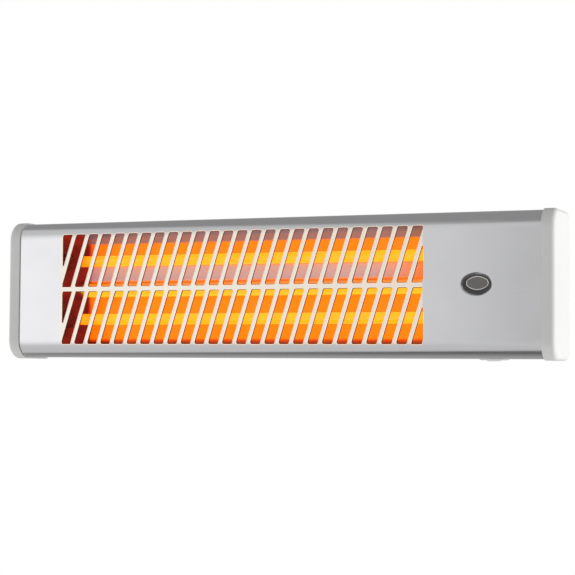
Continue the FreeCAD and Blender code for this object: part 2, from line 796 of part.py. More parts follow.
def make_terminals():
    """A pin out of each tube end, with a nut and washer outside the ceramic."""
    pins, nuts = [], []
    for end in ("left", "right"):
        for side, tag in ((1, "upper"), (-1, "lower")):
            height = f"{side}*tube_spacing/2"
            name = f"{tag}_{end}"
            outer = "ceramic_length/2+pin_out"
            if end == "left":
                start, long = f"left_bracket-({outer})", f"coil_left-left_bracket+{outer}"
                nut_at = "left_bracket-ceramic_length/2-2*pin_radius"
            else:
                start, long = "coil_right", f"right_bracket+{outer}-coil_right"
                nut_at = "right_bracket+ceramic_length/2"
            pins.append(rod(f"pin_{name}", (start, TUBE_LINE, height), "x", "pin_radius", long))
            nut_start = (nut_at, TUBE_LINE, height)
            across, thick = "2.1*pin_radius", "2*pin_radius"
            nuts.append(hexagon_nut(f"pin_nut_{name}", nut_start, "x", across, "pin_radius", thick))
    group("tube_terminal_pins", pins)
    group("tube_terminal_nuts", nuts)


def holder_screw_places():
    """Two screws through each holder's foot, which points away from the tubes."""
    columns = ("left_bracket-holder_screw_in", "right_bracket+holder_screw_in")
    return [(x, z) for x in columns for z in ("-holder_screw_height", "holder_screw_height")]


def make_tube_holders():
    """Sheet holders screwed to the back panel; forked slots carry the ceramics."""
    depth = "(casing_depth-metal-panel_thick-metal)"
    for end, side in (("left", -1), ("right", 1)):
        body = new_body(f"{end}_tube_holder")
        half = "(holder_height/2)"
        web = new_sketch(body, "YZ_Plane")
        front = f"-{depth}+holder_corner"
        rectangle(web, front, 0, f"-{half}", half, ("holder_corner", "0", "0", "holder_corner"))
        pad(body, web, "holder_thick", symmetric=True)
        foot = new_sketch(body, "XZ_Plane")
        near, far = f"{side}*holder_thick/2", f"{side}*holder_foot"
        left, right = (near, far) if side > 0 else (far, near)
        rectangle(foot, left, right, f"-{half}", half)
        pad(body, foot, "holder_thick")
        forks = new_sketch(body, "YZ_Plane")
        line = f"({TUBE_LINE})-({PANEL_INSIDE})"
        width = "(groove_radius+0.2)"
        for row in ROWS:
            middle = f"{row}*tube_spacing/2"
            rectangle(forks, f"{front}-2", f"{line}+{width}", f"{middle}-{width}", f"{middle}+{width}",
                      ("0", "groove_radius", "groove_radius", "0"))
        pocket(body, forks, symmetric=True)
        wire_holes = new_sketch(body, "YZ_Plane")
        wire_y = f"-wire_line-({PANEL_INSIDE})"
        circles(wire_holes, "2.4*wire_radius", [(wire_y, "wire_apart"), (wire_y, "-wire_apart")])
        pocket(body, wire_holes, symmetric=True)
        holes = new_sketch(body, "XZ_Plane")
        screw_x = f"{side}*holder_screw_in"
        circles(holes, SCREW_HOLE, [(screw_x, "-holder_screw_height"), (screw_x, "holder_screw_height")])
        pocket(body, holes, "4*holder_thick", symmetric=True)
        place(body, f"{end}_bracket", PANEL_INSIDE, 0)
    pieces = [screw(f"holder_screw_{index}", x, z, PANEL_FACE, "holder_screw_length")
              for index, (x, z) in enumerate(holder_screw_places())]
    group("tube_holder_screws", pieces)


def make_reflectors():
    """A half-round polished trough behind each tube."""
    half, deep, thick = size("trough_half"), size("trough_depth"), size("mirror_thick")
    left = "left_bracket+holder_thick/2"
    for side, tag in ((1, "upper"), (-1, "lower")):
        body = new_body(f"{tag}_reflector")
        section = new_sketch(body, "YZ_Plane")
        outer, inner = half + thick / 2 - 0.05, half - thick / 2
        back_arc = Part.Arc(Vector(0, -outer, 0), Vector(deep + thick, 0, 0), Vector(0, outer, 0))
        front_arc = Part.Arc(Vector(0, inner, 0), Vector(deep, 0, 0), Vector(0, -inner, 0))
        top_edge = Part.LineSegment(Vector(0, outer, 0), Vector(0, inner, 0))
        low_edge = Part.LineSegment(Vector(0, -inner, 0), Vector(0, -outer, 0))
        for curve in (back_arc, top_edge, front_arc, low_edge):
            section.addGeometry(curve, False)
        pad(body, section, "right_bracket-left_bracket-holder_thick")
        place(body, left, f"{FRONT}+trough_front", f"{side}*tube_spacing/2")


# --- indicator lamp ----------------------------------------------------------------------------


def make_indicator():
    lens = new_body("indicator_lens")
    window = new_sketch(lens, "XZ_Plane")
    blunt_oval(window, "lens_width", "lens_height", "lens_end")
    face = pad(lens, window, "lens_rise")
    front = size("-lens_rise")
    round_edges(lens, face, "lens_rise*0.4", lambda edge: all(abs(v.Y - front) < SAME for v in edge.Vertexes))
    rim_size = ("lens_width+2*lens_rim", "lens_height+2*lens_rim", "lens_end+lens_rim")
    rim = new_sketch(lens, "XZ_Plane")
    blunt_oval(rim, *rim_size)
    pad(lens, rim, "lens_rim_thick", backwards=True)
    dish_back = f"{FRONT}+dish_depth+0.02"
    place(lens, "lamp_centre", dish_back, "lens_lift")

    holder = new_body("indicator_holder")
    shell = new_sketch(holder, "XZ_Plane")
    blunt_oval(shell, *rim_size)
    pad(holder, shell, "lamp_body", backwards=True)
    well = new_sketch(holder, "XZ_Plane")
    blunt_oval(well, "lens_width-2", "lens_height-2", "lens_end-1")
    pocket(holder, well, "lamp_body-lens_rim")
    place(holder, "lamp_centre", f"{dish_back}+lens_rim_thick+0.08", "lens_lift")

    start = ("lamp_centre-neon_length/2", f"{dish_back}+lens_rim_thick+lamp_body/2", "lens_lift")
    glass = rod("neon_glass", start, "x", "neon_radius", "neon_length")
    tip = doc.addObject("Part::Sphere", "neon_tip")
    bind(tip, "Radius", "neon_radius")
    place(tip, *start)
    keep(fused("neon", glass, tip), "neon_lamp")


# --- pull switch -------------------------------------------------------------------------------

SWITCH_Y = f"({FRONT})+switch_inset"
FLOOR = "(-casing_height/2)"  # outside of the casing's underside


def make_pull_switch():
    """A box switch on the casing floor, clamped by a threaded bush from below."""
    floor_inside = f"({FLOOR}+metal)"
    box_floor = f"({floor_inside}+switch_wall)"
    body = new_body("pull_switch_body")
    box = new_sketch(body, "XY_Plane")
    long, wide = "switch_half_long", "switch_half_wide"
    rectangle(box, f"-{long}", long, f"-{wide}", wide, ("rod_radius",) * 4)
    pad(body, box, "switch_tall")
    cavity = new_sketch(body, "XY_Plane", "switch_wall")
    long, wide = "(switch_half_long-switch_wall)", "(switch_half_wide-switch_wall)"
    rectangle(cavity, f"-{long}", long, f"-{wide}", wide)
    pocket(body, cavity, "switch_tall-2*switch_wall", backwards=True)
    hole = new_sketch(body, "XY_Plane")
    circles(hole, "bush_neck+cap_play", [(0, 0)])
    pocket(body, hole, "switch_wall", backwards=True)
    place(body, "switch_centre", SWITCH_Y, floor_inside)

    axis = ("switch_centre", SWITCH_Y)
    keep(hexagon_nut("bush_nut", (*axis, box_floor), "z", "1.43*bush_neck", "bush_neck", "nut_tall"),
         "pull_switch_nut")

    rod_low = f"{FLOOR}-bush_thick-nozzle_out/2"
    collar_low = f"{box_floor}+collar_rise"
    stem = rod("pull_stem", (*axis, rod_low), "z", "rod_radius", f"{collar_low}-({rod_low})+2.5*rod_radius")
    collar = rod("pull_collar", (*axis, collar_low), "z", "2.4*rod_radius", "0.75*rod_radius")
    cord_hole = rod("pull_cord_hole", (*axis, rod_low), "z", "0.4*rod_radius", "2.5*rod_radius")
    keep(without("pull_rod_drilled", fused("pull_rod_whole", stem, collar), cord_hole), "pull_rod")

    coil = new_body("pull_return_spring")
    wire = new_sketch(coil, "XZ_Plane")
    circles(wire, "spring_wire", [("spring_radius", 0)])
    wound = coil.newObject("PartDesign::AdditiveHelix", "return_coil")
    wound.Profile = wire
    wound.ReferenceAxis = (origin_feature(coil, "Z_Axis"), [""])
    wound.Mode = "height-turns-angle"
    bind(wound, "Height", "collar_rise-spring_gap-2.7*spring_wire")
    wound.Turns = SPRING_TURNS
    doc.recompute()
    place(coil, *axis, f"{box_floor}+spring_gap+1.3*spring_wire")


def make_bush():
    """The threaded bush whose flange and low nozzle show under the casing."""
    bore, neck, flange = size("rod_radius+0.3"), size("bush_neck"), size("bush_flange")
    thick, nozzle = size("bush_thick"), size("nozzle_radius")
    mouth, top = size("bush_thick+nozzle_out"), size("metal+switch_wall+nut_tall+1.2")
    outline = [(bore, -mouth), (nozzle - 0.6, -mouth), (nozzle, -thick - 0.1), (nozzle, -thick),
               (flange - 1.5, -thick), (flange, -0.6), (flange, 0), (neck, 0), (neck, top), (bore, top)]
    body = new_body("pull_switch_bush")
    revolved(body, outline, "Z_Axis")
    place(body, "switch_centre", SWITCH_Y, FLOOR)


def make_cam():
    """A notched wheel that each pull turns by one step, on a pin in the switch wall."""
    start = ("switch_centre-cam_back", SWITCH_Y, f"{FLOOR}+metal+cam_rise")
    disc = rod("cam_disc", start, "x", "cam_radius", "cam_thick")
    bore = rod("cam_bore", start, "x", "screw_radius+pivot_play", "cam_thick")
    notches = []
    for index in range(CAM_NOTCHES):
        angle = 2 * math.pi * index / CAM_NOTCHES
        y = f"{start[1]}+cam_radius*{math.cos(angle):.4f}"
        z = f"{start[2]}+cam_radius*{math.sin(angle):.4f}"
        notches.append(rod(f"cam_notch_{index}", (start[0], y, z), "x", "0.2*cam_radius", "cam_thick"))
    keep(without("cam", disc, bore, *notches), "switch_cam")
    pin_start = ("switch_centre-switch_half_long+switch_wall", start[1], start[2])
    keep(rod("cam_pin", pin_start, "x", "screw_radius", "cam_thick+1.7"), "switch_cam_pin")


# --- mains side --------------------------------------------------------------------------------


def way_height(index):
    return f"block_low+0.6*way_pitch+{index}*way_pitch"


def make_terminal_block():
    """A three-way block on the back panel, with its clamp screws and an earth screw beside it."""
    front = f"{PANEL_INSIDE}-block_thick"
    base = block("terminal_base", ("block_left", front, "block_low"),
                 ("block_left+block_long", PANEL_INSIDE, "block_low+block_tall"))
    wells, screws = [], []
    for index in range(TERMINAL_WAYS):
        height = way_height(index)
        way = ("block_left", f"{PANEL_INSIDE}-block_thick/2", height)
        wells.append(rod(f"terminal_way_{index}", way, "x", "way_radius", "block_long"))
        for column, x in enumerate(("block_left+0.25*block_long", "block_left+0.75*block_long")):
            name = f"terminal_{index}_{column}"
            wells.append(rod(f"{name}_well", (x, front, height), "y", "way_radius-0.2", "block_thick/2"))
            clamp = (x, f"{front}+1", height)
            screws.append(rod(f"{name}_screw", clamp, "y", "way_radius-0.3", "block_thick/4"))
    keep(without("terminals", base, *wells), "terminal_block")
    group("terminal_clamp_screws", screws)
    keep(screw("earth", "earth_out", "earth_height", PANEL_FACE, "cap_screw_length-2"), "earth_screw")
    nut_at = ("earth_out", f"{PANEL_INSIDE}-nut_tall", "earth_height")
    keep(hexagon_nut("earth_hex", nut_at, "y", "2.1*screw_radius", "screw_radius", "nut_tall"), "earth_nut")


def make_inlet():
    """A flanged grommet in the back panel for the mains lead."""
    bore, hole, panel = size("inlet_bore"), size("inlet_bore+2.4"), size("panel_thick+0.05")
    outline = [(bore, -3), (hole + 2.2, -3), (hole + 2.2, -0.05), (hole, -0.05), (hole, panel),
               (hole + 1.8, panel), (hole + 1, panel + 1.95), (bore, panel + 1.95)]
    body = new_body("mains_inlet_grommet")
    revolved(body, outline, "Z_Axis")
    place(body, "inlet_centre", PANEL_FACE, "inlet_height", Rotation(Vector(1, 0, 0), 90))


# --- internal wires ----------------------------------------------------------------------------


def make_wire(label, thickness, *points):
    """A sleeved wire along straight runs joined by arcs as large as the runs allow."""
    corners = [Vector(*(size(value) for value in point)) for point in points]
    edges = []
    here = corners[0]
    for before, corner, after in zip(corners, corners[1:], corners[2:]):
        back, ahead = before - corner, after - corner
        half_turn = (math.pi - back.getAngle(ahead)) / 2
        reach = 0.45 * min(back.Length, ahead.Length)
        bend = reach / math.tan(half_turn)
        start = corner + back.normalize() * reach
        end = corner + ahead.normalize() * reach
        rise = bend / math.cos(half_turn) - bend
        middle = corner + (back + ahead).normalize() * rise
        edges.append(Part.LineSegment(here, start).toShape())
        edges.append(Part.Arc(start, middle, end).toShape())
        here = end
    edges.append(Part.LineSegment(here, corners[-1]).toShape())
    path = Part.Wire(edges)
    ring = Part.Wire(Part.makeCircle(size(thickness), corners[0], corners[1] - corners[0]))
    tube = path.makePipeShell([ring], True, False)
    expected = math.pi * size(thickness) ** 2 * path.Length
    if abs(tube.Volume - expected) > 0.02 * expected:
        raise RuntimeError(f"{label} has the wrong volume")
    item = doc.addObject("Part::Feature", label)
    item.Shape = tube
    keep(item, label)


def make_wires():
    pin_end = "ceramic_length/2+pin_out"
    way_y = f"{PANEL_INSIDE}-block_thick/2"
    way_x = "block_left+4"
    returns = (
        (1, "upper", way_height(0), "184", "-wire_line+1"),
        (-1, "lower", way_height(1), "180", "-wire_line-4"),
    )
    for side, tag, way, bend_x, lane_y in returns:
        height, lane = f"{side}*tube_spacing/2", f"{side}*wire_apart"
        make_wire(f"{tag}_return_wire", "wire_radius",
                  (f"left_bracket-({pin_end})", TUBE_LINE, height),
                  ("-248", TUBE_LINE, height),
                  ("-248", "-62", f"{side}*11"),
                  ("-234", "-wire_line", lane),
                  ("-190", "-wire_line", lane),
                  ("172", "-wire_line", f"{lane}*0.98"),
                  (bend_x, lane_y, f"{lane}+3"),
                  (f"{bend_x}+9", way_y, way),
                  (way_x, way_y, way))
    switch_top = f"{FLOOR}+metal+switch_tall"
    right_pin = f"right_bracket+{pin_end}"
    make_wire("upper_live_wire", "wire_radius", (right_pin, TUBE_LINE, "tube_spacing/2"),
              ("207", TUBE_LINE, "tube_spacing/2"), ("207", TUBE_LINE, switch_top))
    make_wire("lower_live_wire", "wire_radius", (right_pin, TUBE_LINE, "-tube_spacing/2"),
              ("203", TUBE_LINE, "-tube_spacing/2"), ("203", "-61", "-tube_spacing/2"),
              ("203", "-58", "-38"), ("203", "-58", "-48"), ("203", f"{SWITCH_Y}+switch_half_wide", "-48"))
    make_wire("supply_wire", "wire_radius", (way_x, way_y, way_height(2)), ("189", way_y, way_height(2)),
              ("189", "-71", "22"), ("190", "-74", "-8"), ("190", "-74", switch_top))
    lamp_back = f"{FRONT}+dish_depth+0.02+lens_rim_thick+0.08+lamp_body"
    for tag, x in (("live", "199"), ("neutral", "205")):
        make_wire(f"neon_{tag}_wire", "wire_radius/2", (f"{x}-8", lamp_back, "lens_lift"),
                  (f"{x}-8", "-84", "lens_lift"), (x, "-84", "-14"), (x, "-84", switch_top))


def write_parts():
    doc.recompute()
    for item in doc.Objects:
        if {"Invalid", "Error"} & set(item.State):
            raise RuntimeError(f"{item.Name} failed: {item.State}")
    for item in nodes:
        if item.Shape.isNull() or not item.Shape.isValid():
            raise RuntimeError(f"{item.Label} has no valid shape")
    os.makedirs("parts", exist_ok=True)
    for item in nodes:
        item.Shape.exportStep(f"parts/{item.Label}.step")
        print(f"{item.Label}: {len(item.Shape.Solids)} solid(s), {item.Shape.Volume / 1000:.2f} cm3")


make_casing()
make_end_cap("right_end_cap", 1)
make_end_cap("left_end_cap", -1)
make_back_panel()
make_panel_screws()
make_wall_bracket()
make_ears()
make_pivot_hardware()
make_tubes()
make_ceramics()
make_terminals()
make_tube_holders()
make_reflectors()
make_indicator()
make_pull_switch()
make_bush()
make_cam()
make_terminal_block()
make_inlet()
make_wires()
write_parts()
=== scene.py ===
"""Looks of a wall-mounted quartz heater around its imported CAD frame. Every length is in metres."""

import math

import bpy
from mathutils import Matrix, Vector


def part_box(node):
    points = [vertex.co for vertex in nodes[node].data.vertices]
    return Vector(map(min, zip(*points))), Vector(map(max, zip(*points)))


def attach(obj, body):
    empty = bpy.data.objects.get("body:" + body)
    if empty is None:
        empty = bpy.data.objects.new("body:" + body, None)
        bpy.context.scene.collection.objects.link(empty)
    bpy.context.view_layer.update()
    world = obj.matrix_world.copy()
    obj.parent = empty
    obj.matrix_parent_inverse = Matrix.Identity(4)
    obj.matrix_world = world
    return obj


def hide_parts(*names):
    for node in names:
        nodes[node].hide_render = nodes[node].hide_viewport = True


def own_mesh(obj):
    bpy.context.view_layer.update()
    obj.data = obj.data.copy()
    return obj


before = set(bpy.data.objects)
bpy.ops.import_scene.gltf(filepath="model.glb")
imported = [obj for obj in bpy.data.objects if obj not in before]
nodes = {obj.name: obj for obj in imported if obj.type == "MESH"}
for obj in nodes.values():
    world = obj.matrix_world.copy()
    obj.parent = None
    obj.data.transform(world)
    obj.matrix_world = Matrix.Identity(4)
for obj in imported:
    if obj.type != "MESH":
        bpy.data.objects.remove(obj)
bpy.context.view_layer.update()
scene = bpy.context.scene

# Camera: place and turn in degrees, lens for a 36 mm sensor.
CAMERA_PLACE = Vector((0.573, -1.484, -0.073))
CAMERA_YAW, CAMERA_PITCH, CAMERA_ROLL = 21.83, 2.784, 0.39
CAMERA_LENS, SENSOR = 106.4, 36.0

# Room round the object.
FLOOR_DROP = 1.5
FLOOR_RADIUS = 6.0
FLOOR_SIDES = 96

# Heating coils and glow.
COIL_WIRE = 0.00042
COIL_PITCH = 0.0019
COIL_LEAD = 0.016
RING_POINTS = 14
WIRE_SIDES = 6
FADE = 0.005
EDGE = 0.0015

# Indicator trim, as half width, half height and end radius of its four-arc ovals.
BEZEL_OVAL = (0.0095, 0.0057, 0.0038)
COLLAR_INNER = (0.0097, 0.0059, 0.0040)
COLLAR_OUTER = (0.0129, 0.00915, 0.00715)
COLLAR_LOWER = 0.0010
COLLAR_RISE = 0.00215
COLLAR_SUNK, COLLAR_THICK = 0.0001, 0.0003
BEZEL_WIRE = 0.0004
BEZEL_DEPTH = 0.00068
OVAL_STEPS = 14

# Rolled lip round each slot, and behind it a darker wire along the cut edge, laid as painted shade.
LIP_WIRE = 0.00030
SLOT_SHADE_WIRE, SLOT_SHADE_INSET, SLOT_SHADE_DEPTH = 0.00038, 0.00034, 0.00075

# Grille window seen from the front, where the bars' painted warm tint and painted glow stand for the coils' light.
GRILLE_LEFT, GRILLE_RIGHT, GRILLE_TOP = -0.2050, 0.1455, 0.0507

# Reflectors: heights, up from the unit's middle, where painted shade, painted reflection bands and painted glints
# of the tubes change, and the left end past the coils, painted dark red with a painted red glow.
UPPER_REFLECTION_LOW, UPPER_REFLECTION_HIGH = 0.0085, 0.0220
TOP_PAINTED_BAND = 0.0432
REFLECTION_FADE_START, REFLECTION_FADE_END = 0.085, 0.145
LOWER_DARK = -0.0455
MIDDLE_LIP = 0.0062
UNLIT_START, UNLIT_END = -0.196, -0.186


# ---------------------------------------------------------------- materials


class Finish:
    """A node-based material. Its patterns are fixed to the object and sized in metres."""

    def __init__(self, name, color, metallic=0.0, roughness=0.5):
        self.material = bpy.data.materials.new("finish_" + name)
        self.material.use_nodes = True
        self.tree = self.material.node_tree
        self.shader = self.tree.nodes["Principled BSDF"]
        self.place = self.add("ShaderNodeTexCoord").outputs["Object"]
        self.color = color
        self.set("Base Color", (*color, 1.0))
        self.set("Metallic", metallic)
        self.set("Roughness", roughness)

    def add(self, kind, **settings):
        made = self.tree.nodes.new(kind)
        for key, value in settings.items():
            setattr(made, key, value)
        return made

    def set(self, socket, value):
        self.shader.inputs[socket].default_value = value

    def link(self, source, socket):
        self.tree.links.new(source, self.shader.inputs[socket])

    def stretched(self, stretch):
        """The object's coordinates, scaled along each axis."""
        mapping = self.add("ShaderNodeMapping")
        mapping.inputs["Scale"].default_value = stretch
        self.tree.links.new(self.place, mapping.inputs["Vector"])
        return mapping.outputs["Vector"]

    def noise(self, size, detail=4.0, stretch=(1, 1, 1), uneven=0.55):
        """Noise from 0 to 1 whose blobs are about size across."""
        made = self.add("ShaderNodeTexNoise")
        made.inputs["Scale"].default_value = 1 / size
        made.inputs["Detail"].default_value = detail
        made.inputs["Roughness"].default_value = uneven
        self.tree.links.new(self.stretched(stretch), made.inputs["Vector"])
        return made.outputs["Fac"]

    def cells(self, size, output="Color", feature="F1"):
        """Crystal-like cells about size across."""
        made = self.add("ShaderNodeTexVoronoi", feature=feature)
        made.inputs["Scale"].default_value = 1 / size
        self.tree.links.new(self.stretched((1, 1, 1)), made.inputs["Vector"])
        return made.outputs[output]

    def along(self, axis):
        """The place along one axis of the object, in metres."""
        parts = self.add("ShaderNodeSeparateXYZ")
        self.tree.links.new(self.place, parts.inputs["Vector"])
        return parts.outputs[axis]

    def ranged(self, source, low, high, start=0.25, end=0.75):
        """Source's part from start to end, spread over low to high."""
        made = self.add("ShaderNodeMapRange", interpolation_type="SMOOTHSTEP")
        made.inputs["From Min"].default_value = start
        made.inputs["From Max"].default_value = end
        made.inputs["To Min"].default_value = low
        made.inputs["To Max"].default_value = high
        self.tree.links.new(source, made.inputs["Value"])
        return made.outputs["Result"]

    def stepped(self, source, stops, blend):
        """A colour by source's value: each stop is a colour and the value at which it gives way to the next."""
        color = stops[0][0]
        for (_, edge), (after, _) in zip(stops, stops[1:]):
            color = self.tint(self.ranged(source, 0, 1, edge - blend, edge + blend), color, after)
        return color

    def times(self, first, second):
        made = self.add("ShaderNodeMath", operation="MULTIPLY")
        self.tree.links.new(first, made.inputs[0])
        self.tree.links.new(second, made.inputs[1])
        return made.outputs["Value"]

    def tint(self, amount, first, second):
        """A colour between first, at amount 0, and second, at 1. Each is a colour or an output."""
        made = self.add("ShaderNodeMix", data_type="RGBA")
        self.tree.links.new(amount, made.inputs["Factor"])
        for socket, value in ((made.inputs[6], first), (made.inputs[7], second)):
            if isinstance(value, tuple):
                socket.default_value = (*value, 1.0)
            else:
                self.tree.links.new(value, socket)
        return made.outputs[2]

    def window(self, left, right, top):
        """1 between left and right and less than top above or below the middle, 0 outside."""
        place = self.along("X")
        past_left = self.ranged(place, 0, 1, left, left + EDGE)
        before_right = self.ranged(place, 1, 0, right - EDGE, right)
        sides = self.times(past_left, before_right)
        height = self.add("ShaderNodeMath", operation="ABSOLUTE")
        self.tree.links.new(self.along("Z"), height.inputs[0])
        return self.times(sides, self.ranged(height.outputs["Value"], 1, 0, top - EDGE, top))

    def bump(self, *layers, round_edges=None):
        """Layers of (height output, depth in metres), with edges seen as rounded by that radius."""
        normal = None
        if round_edges:
            bevel = self.add("ShaderNodeBevel", samples=4)
            bevel.inputs["Radius"].default_value = round_edges
            normal = bevel.outputs["Normal"]
        for height, depth in layers:
            made = self.add("ShaderNodeBump")
            made.inputs["Strength"].default_value = 1.0
            made.inputs["Distance"].default_value = depth
            self.tree.links.new(height, made.inputs["Height"])
            if normal:
                self.tree.links.new(normal, made.inputs["Normal"])
            normal = made.outputs["Normal"]
        self.link(normal, "Normal")


def shade(color, factor):
    return tuple(c * factor for c in color)


def polished_steel():
    """Bright sheet: long polishing lines, faint waves from forming, a few dull smears, and over the grille a
    painted warm tint and painted glow for the coils' light on the bars.
    """
    steel = Finish("casing", (0.80, 0.80, 0.815), metallic=1.0, roughness=0.13)
    lines = steel.noise(0.0006, 3, stretch=(0.02, 1, 1))
    smears = steel.noise(0.05, 5)
    waves = steel.noise(0.075, 1)
    steel.link(steel.ranged(smears, 0.10, 0.19), "Roughness")
    sheet = steel.tint(steel.ranged(lines, 0, 1), shade(steel.color, 0.985), shade(steel.color, 1.01))
    # Painted light: over the grille the sheet is tinted warm and glows, more brightly to the right, for the coils'
    # light on the bars.
    painted_light_window = steel.window(GRILLE_LEFT, GRILLE_RIGHT, GRILLE_TOP)
    steel.link(steel.tint(painted_light_window, sheet, (0.80, 0.78, 0.72)), "Base Color")
    across = steel.ranged(steel.along("X"), 0, 1, GRILLE_LEFT, GRILLE_RIGHT)
    painted_coil_glow = steel.tint(across, (0.05, 0.035, 0.02), (0.20, 0.14, 0.09))
    steel.link(steel.tint(painted_light_window, (0.0, 0.0, 0.0), painted_coil_glow), "Emission Color")
    steel.set("Emission Strength", 1.0)
    steel.bump((lines, 0.0000007), (waves, 0.00012), round_edges=0.0006)
    return steel


def rolled_lip():
    """Polished lip round a slot, with a painted warm glow where it catches the coils' light."""
    lip = Finish("rolled_lip", (0.90, 0.87, 0.82), metallic=1.0, roughness=0.22)
    marks = lip.noise(0.0012, 3)
    lip.link(lip.tint(lip.ranged(marks, 0, 1), (0.86, 0.82, 0.77), (0.94, 0.92, 0.88)), "Base Color")
    # Painted light: the warm emission is a painted glow standing for the coils' light on the lip.
    lip.link(lip.tint(lip.ranged(marks, 0, 1), (0.36, 0.25, 0.16), (0.46, 0.34, 0.24)), "Emission Color")
    lip.set("Emission Strength", 1.0)
    lip.link(lip.ranged(marks, 0.16, 0.30), "Roughness")
    lip.bump((marks, 0.000004))
    return lip


def slot_edge_shade():
    """Darker wire along the sheet's raw cut edge inside a slot, laid as painted shade, with a mottled brown tone.
    """
    edge = Finish("slot_edge_shade", (0.12, 0.06, 0.045), metallic=0.4, roughness=0.5)
    scale = edge.noise(0.0015, 4)
    shade_tone = edge.tint(edge.ranged(scale, 0, 1), (0.07, 0.03, 0.022), (0.20, 0.11, 0.08))
    edge.link(shade_tone, "Base Color")
    edge.link(edge.ranged(scale, 0.4, 0.65), "Roughness")
    edge.bump((scale, 0.00002))
    return edge


def white_moulding(name, color, grain):
    """Satin moulded plastic: fine spark-eroded grain and faint flow shading."""
    plastic = Finish(name, color, roughness=0.36)
    texture = plastic.noise(grain, 2)
    flow = plastic.noise(0.04, 4)
    plastic.link(plastic.ranged(texture, 0.30, 0.42), "Roughness")
    plastic.link(plastic.tint(plastic.ranged(flow, 0, 1), shade(color, 0.965), color), "Base Color")
    plastic.bump((texture, 0.00002), (flow, 0.00012), round_edges=0.0005)
    return plastic


def galvanised():
    """Zinc-coated sheet: spangles of differing brightness, scuffs and fine pits."""
    sheet = Finish("zinc", (0.60, 0.61, 0.62), metallic=0.9, roughness=0.38)
    spangle = sheet.cells(0.006)
    scuffs = sheet.noise(0.02, 8, stretch=(0.3, 1, 1), uneven=0.7)
    pits = sheet.noise(0.0007, 3)
    grey = sheet.add("ShaderNodeRGBToBW")
    sheet.tree.links.new(spangle, grey.inputs["Color"])
    facet = grey.outputs["Val"]
    sheet.link(sheet.tint(facet, (0.50, 0.515, 0.53), (0.70, 0.70, 0.695)), "Base Color")
    sheet.link(sheet.ranged(scuffs, 0.30, 0.52), "Roughness")
    sheet.bump((facet, 0.00002), (pits, 0.00001), (scuffs, 0.00003), round_edges=0.0003)
    return sheet


def plated(name, color, rough):
    """Bright plated turned metal: tool marks, handling smears."""
    metal = Finish(name, color, metallic=1.0, roughness=rough)
    marks = metal.noise(0.0004, 3, stretch=(1, 0.2, 1))
    smears = metal.noise(0.004, 5)
    metal.link(metal.ranged(smears, rough - 0.06, rough + 0.12), "Roughness")
    metal.link(metal.tint(metal.ranged(smears, 0, 1), shade(color, 0.85), shade(color, 1.05)), "Base Color")
    metal.bump((marks, 0.000008), round_edges=0.00015)
    return metal


def glow_share(finish, node):
    """1 where the coil inside the tube is lit, falling to 0 past its ends."""
    low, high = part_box(node)
    place = finish.along("X")
    start = finish.ranged(place, 0, 1, low.x - FADE * 0.6, low.x + FADE * 0.4)
    stop = finish.ranged(place, 1, 0, high.x - FADE * 0.4, high.x + FADE * 0.6)
    return finish.times(start, stop)


def hot_quartz():
    """Satin quartz tube, lit through by the coil: yellow in the middle of its length, orange by the ends."""
    quartz = Finish("quartz", (0.20, 0.045, 0.03), roughness=0.22)
    lit = glow_share(quartz, "upper_heating_coil")
    low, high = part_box("upper_heating_coil")
    place = quartz.along("X")
    inner = quartz.times(
        quartz.ranged(place, 0, 1, low.x, low.x + 0.035), quartz.ranged(place, 1, 0, high.x - 0.02, high.x + 0.01)
    )
    turns = quartz.noise(COIL_PITCH, 1, stretch=(1, 0.15, 0.15))
    patches = quartz.noise(0.012, 3, stretch=(1, 0.3, 0.3))
    heat = quartz.tint(inner, (2.5, 0.27, 0.0), (2.6, 0.50, 0.0))
    heat = quartz.tint(quartz.ranged(patches, 0, 0.55), heat, (2.6, 0.60, 0.006))
    heat = quartz.tint(quartz.ranged(turns, 0, 0.25), heat, (2.3, 0.40, 0.0))
    quartz.link(quartz.tint(lit, (0.10, 0.006, 0.004), heat), "Emission Color")
    quartz.set("Emission Strength", 1.0)
    quartz.set("Alpha", 0.82)
    quartz.set("Coat Weight", 0.4)
    quartz.link(quartz.ranged(patches, 0.14, 0.3), "Roughness")
    quartz.bump((quartz.noise(0.003, 3), 0.00002))
    return quartz


def glowing_wire():
    """Oxidised resistance wire, hot over its wound length."""
    wire = Finish("coil", (0.25, 0.20, 0.17), metallic=0.6, roughness=0.5)
    lit = glow_share(wire, "upper_heating_coil")
    scale = wire.noise(0.002, 4)
    hot = wire.tint(wire.ranged(scale, 0, 1), (3.4, 0.72, 0.02), (3.9, 1.10, 0.06))
    wire.link(wire.tint(lit, (0.02, 0.001, 0.0), hot), "Emission Color")
    wire.set("Emission Strength", 1.0)
    wire.link(wire.ranged(scale, 0.4, 0.65), "Roughness")
    wire.bump((scale, 0.00001))
    return wire


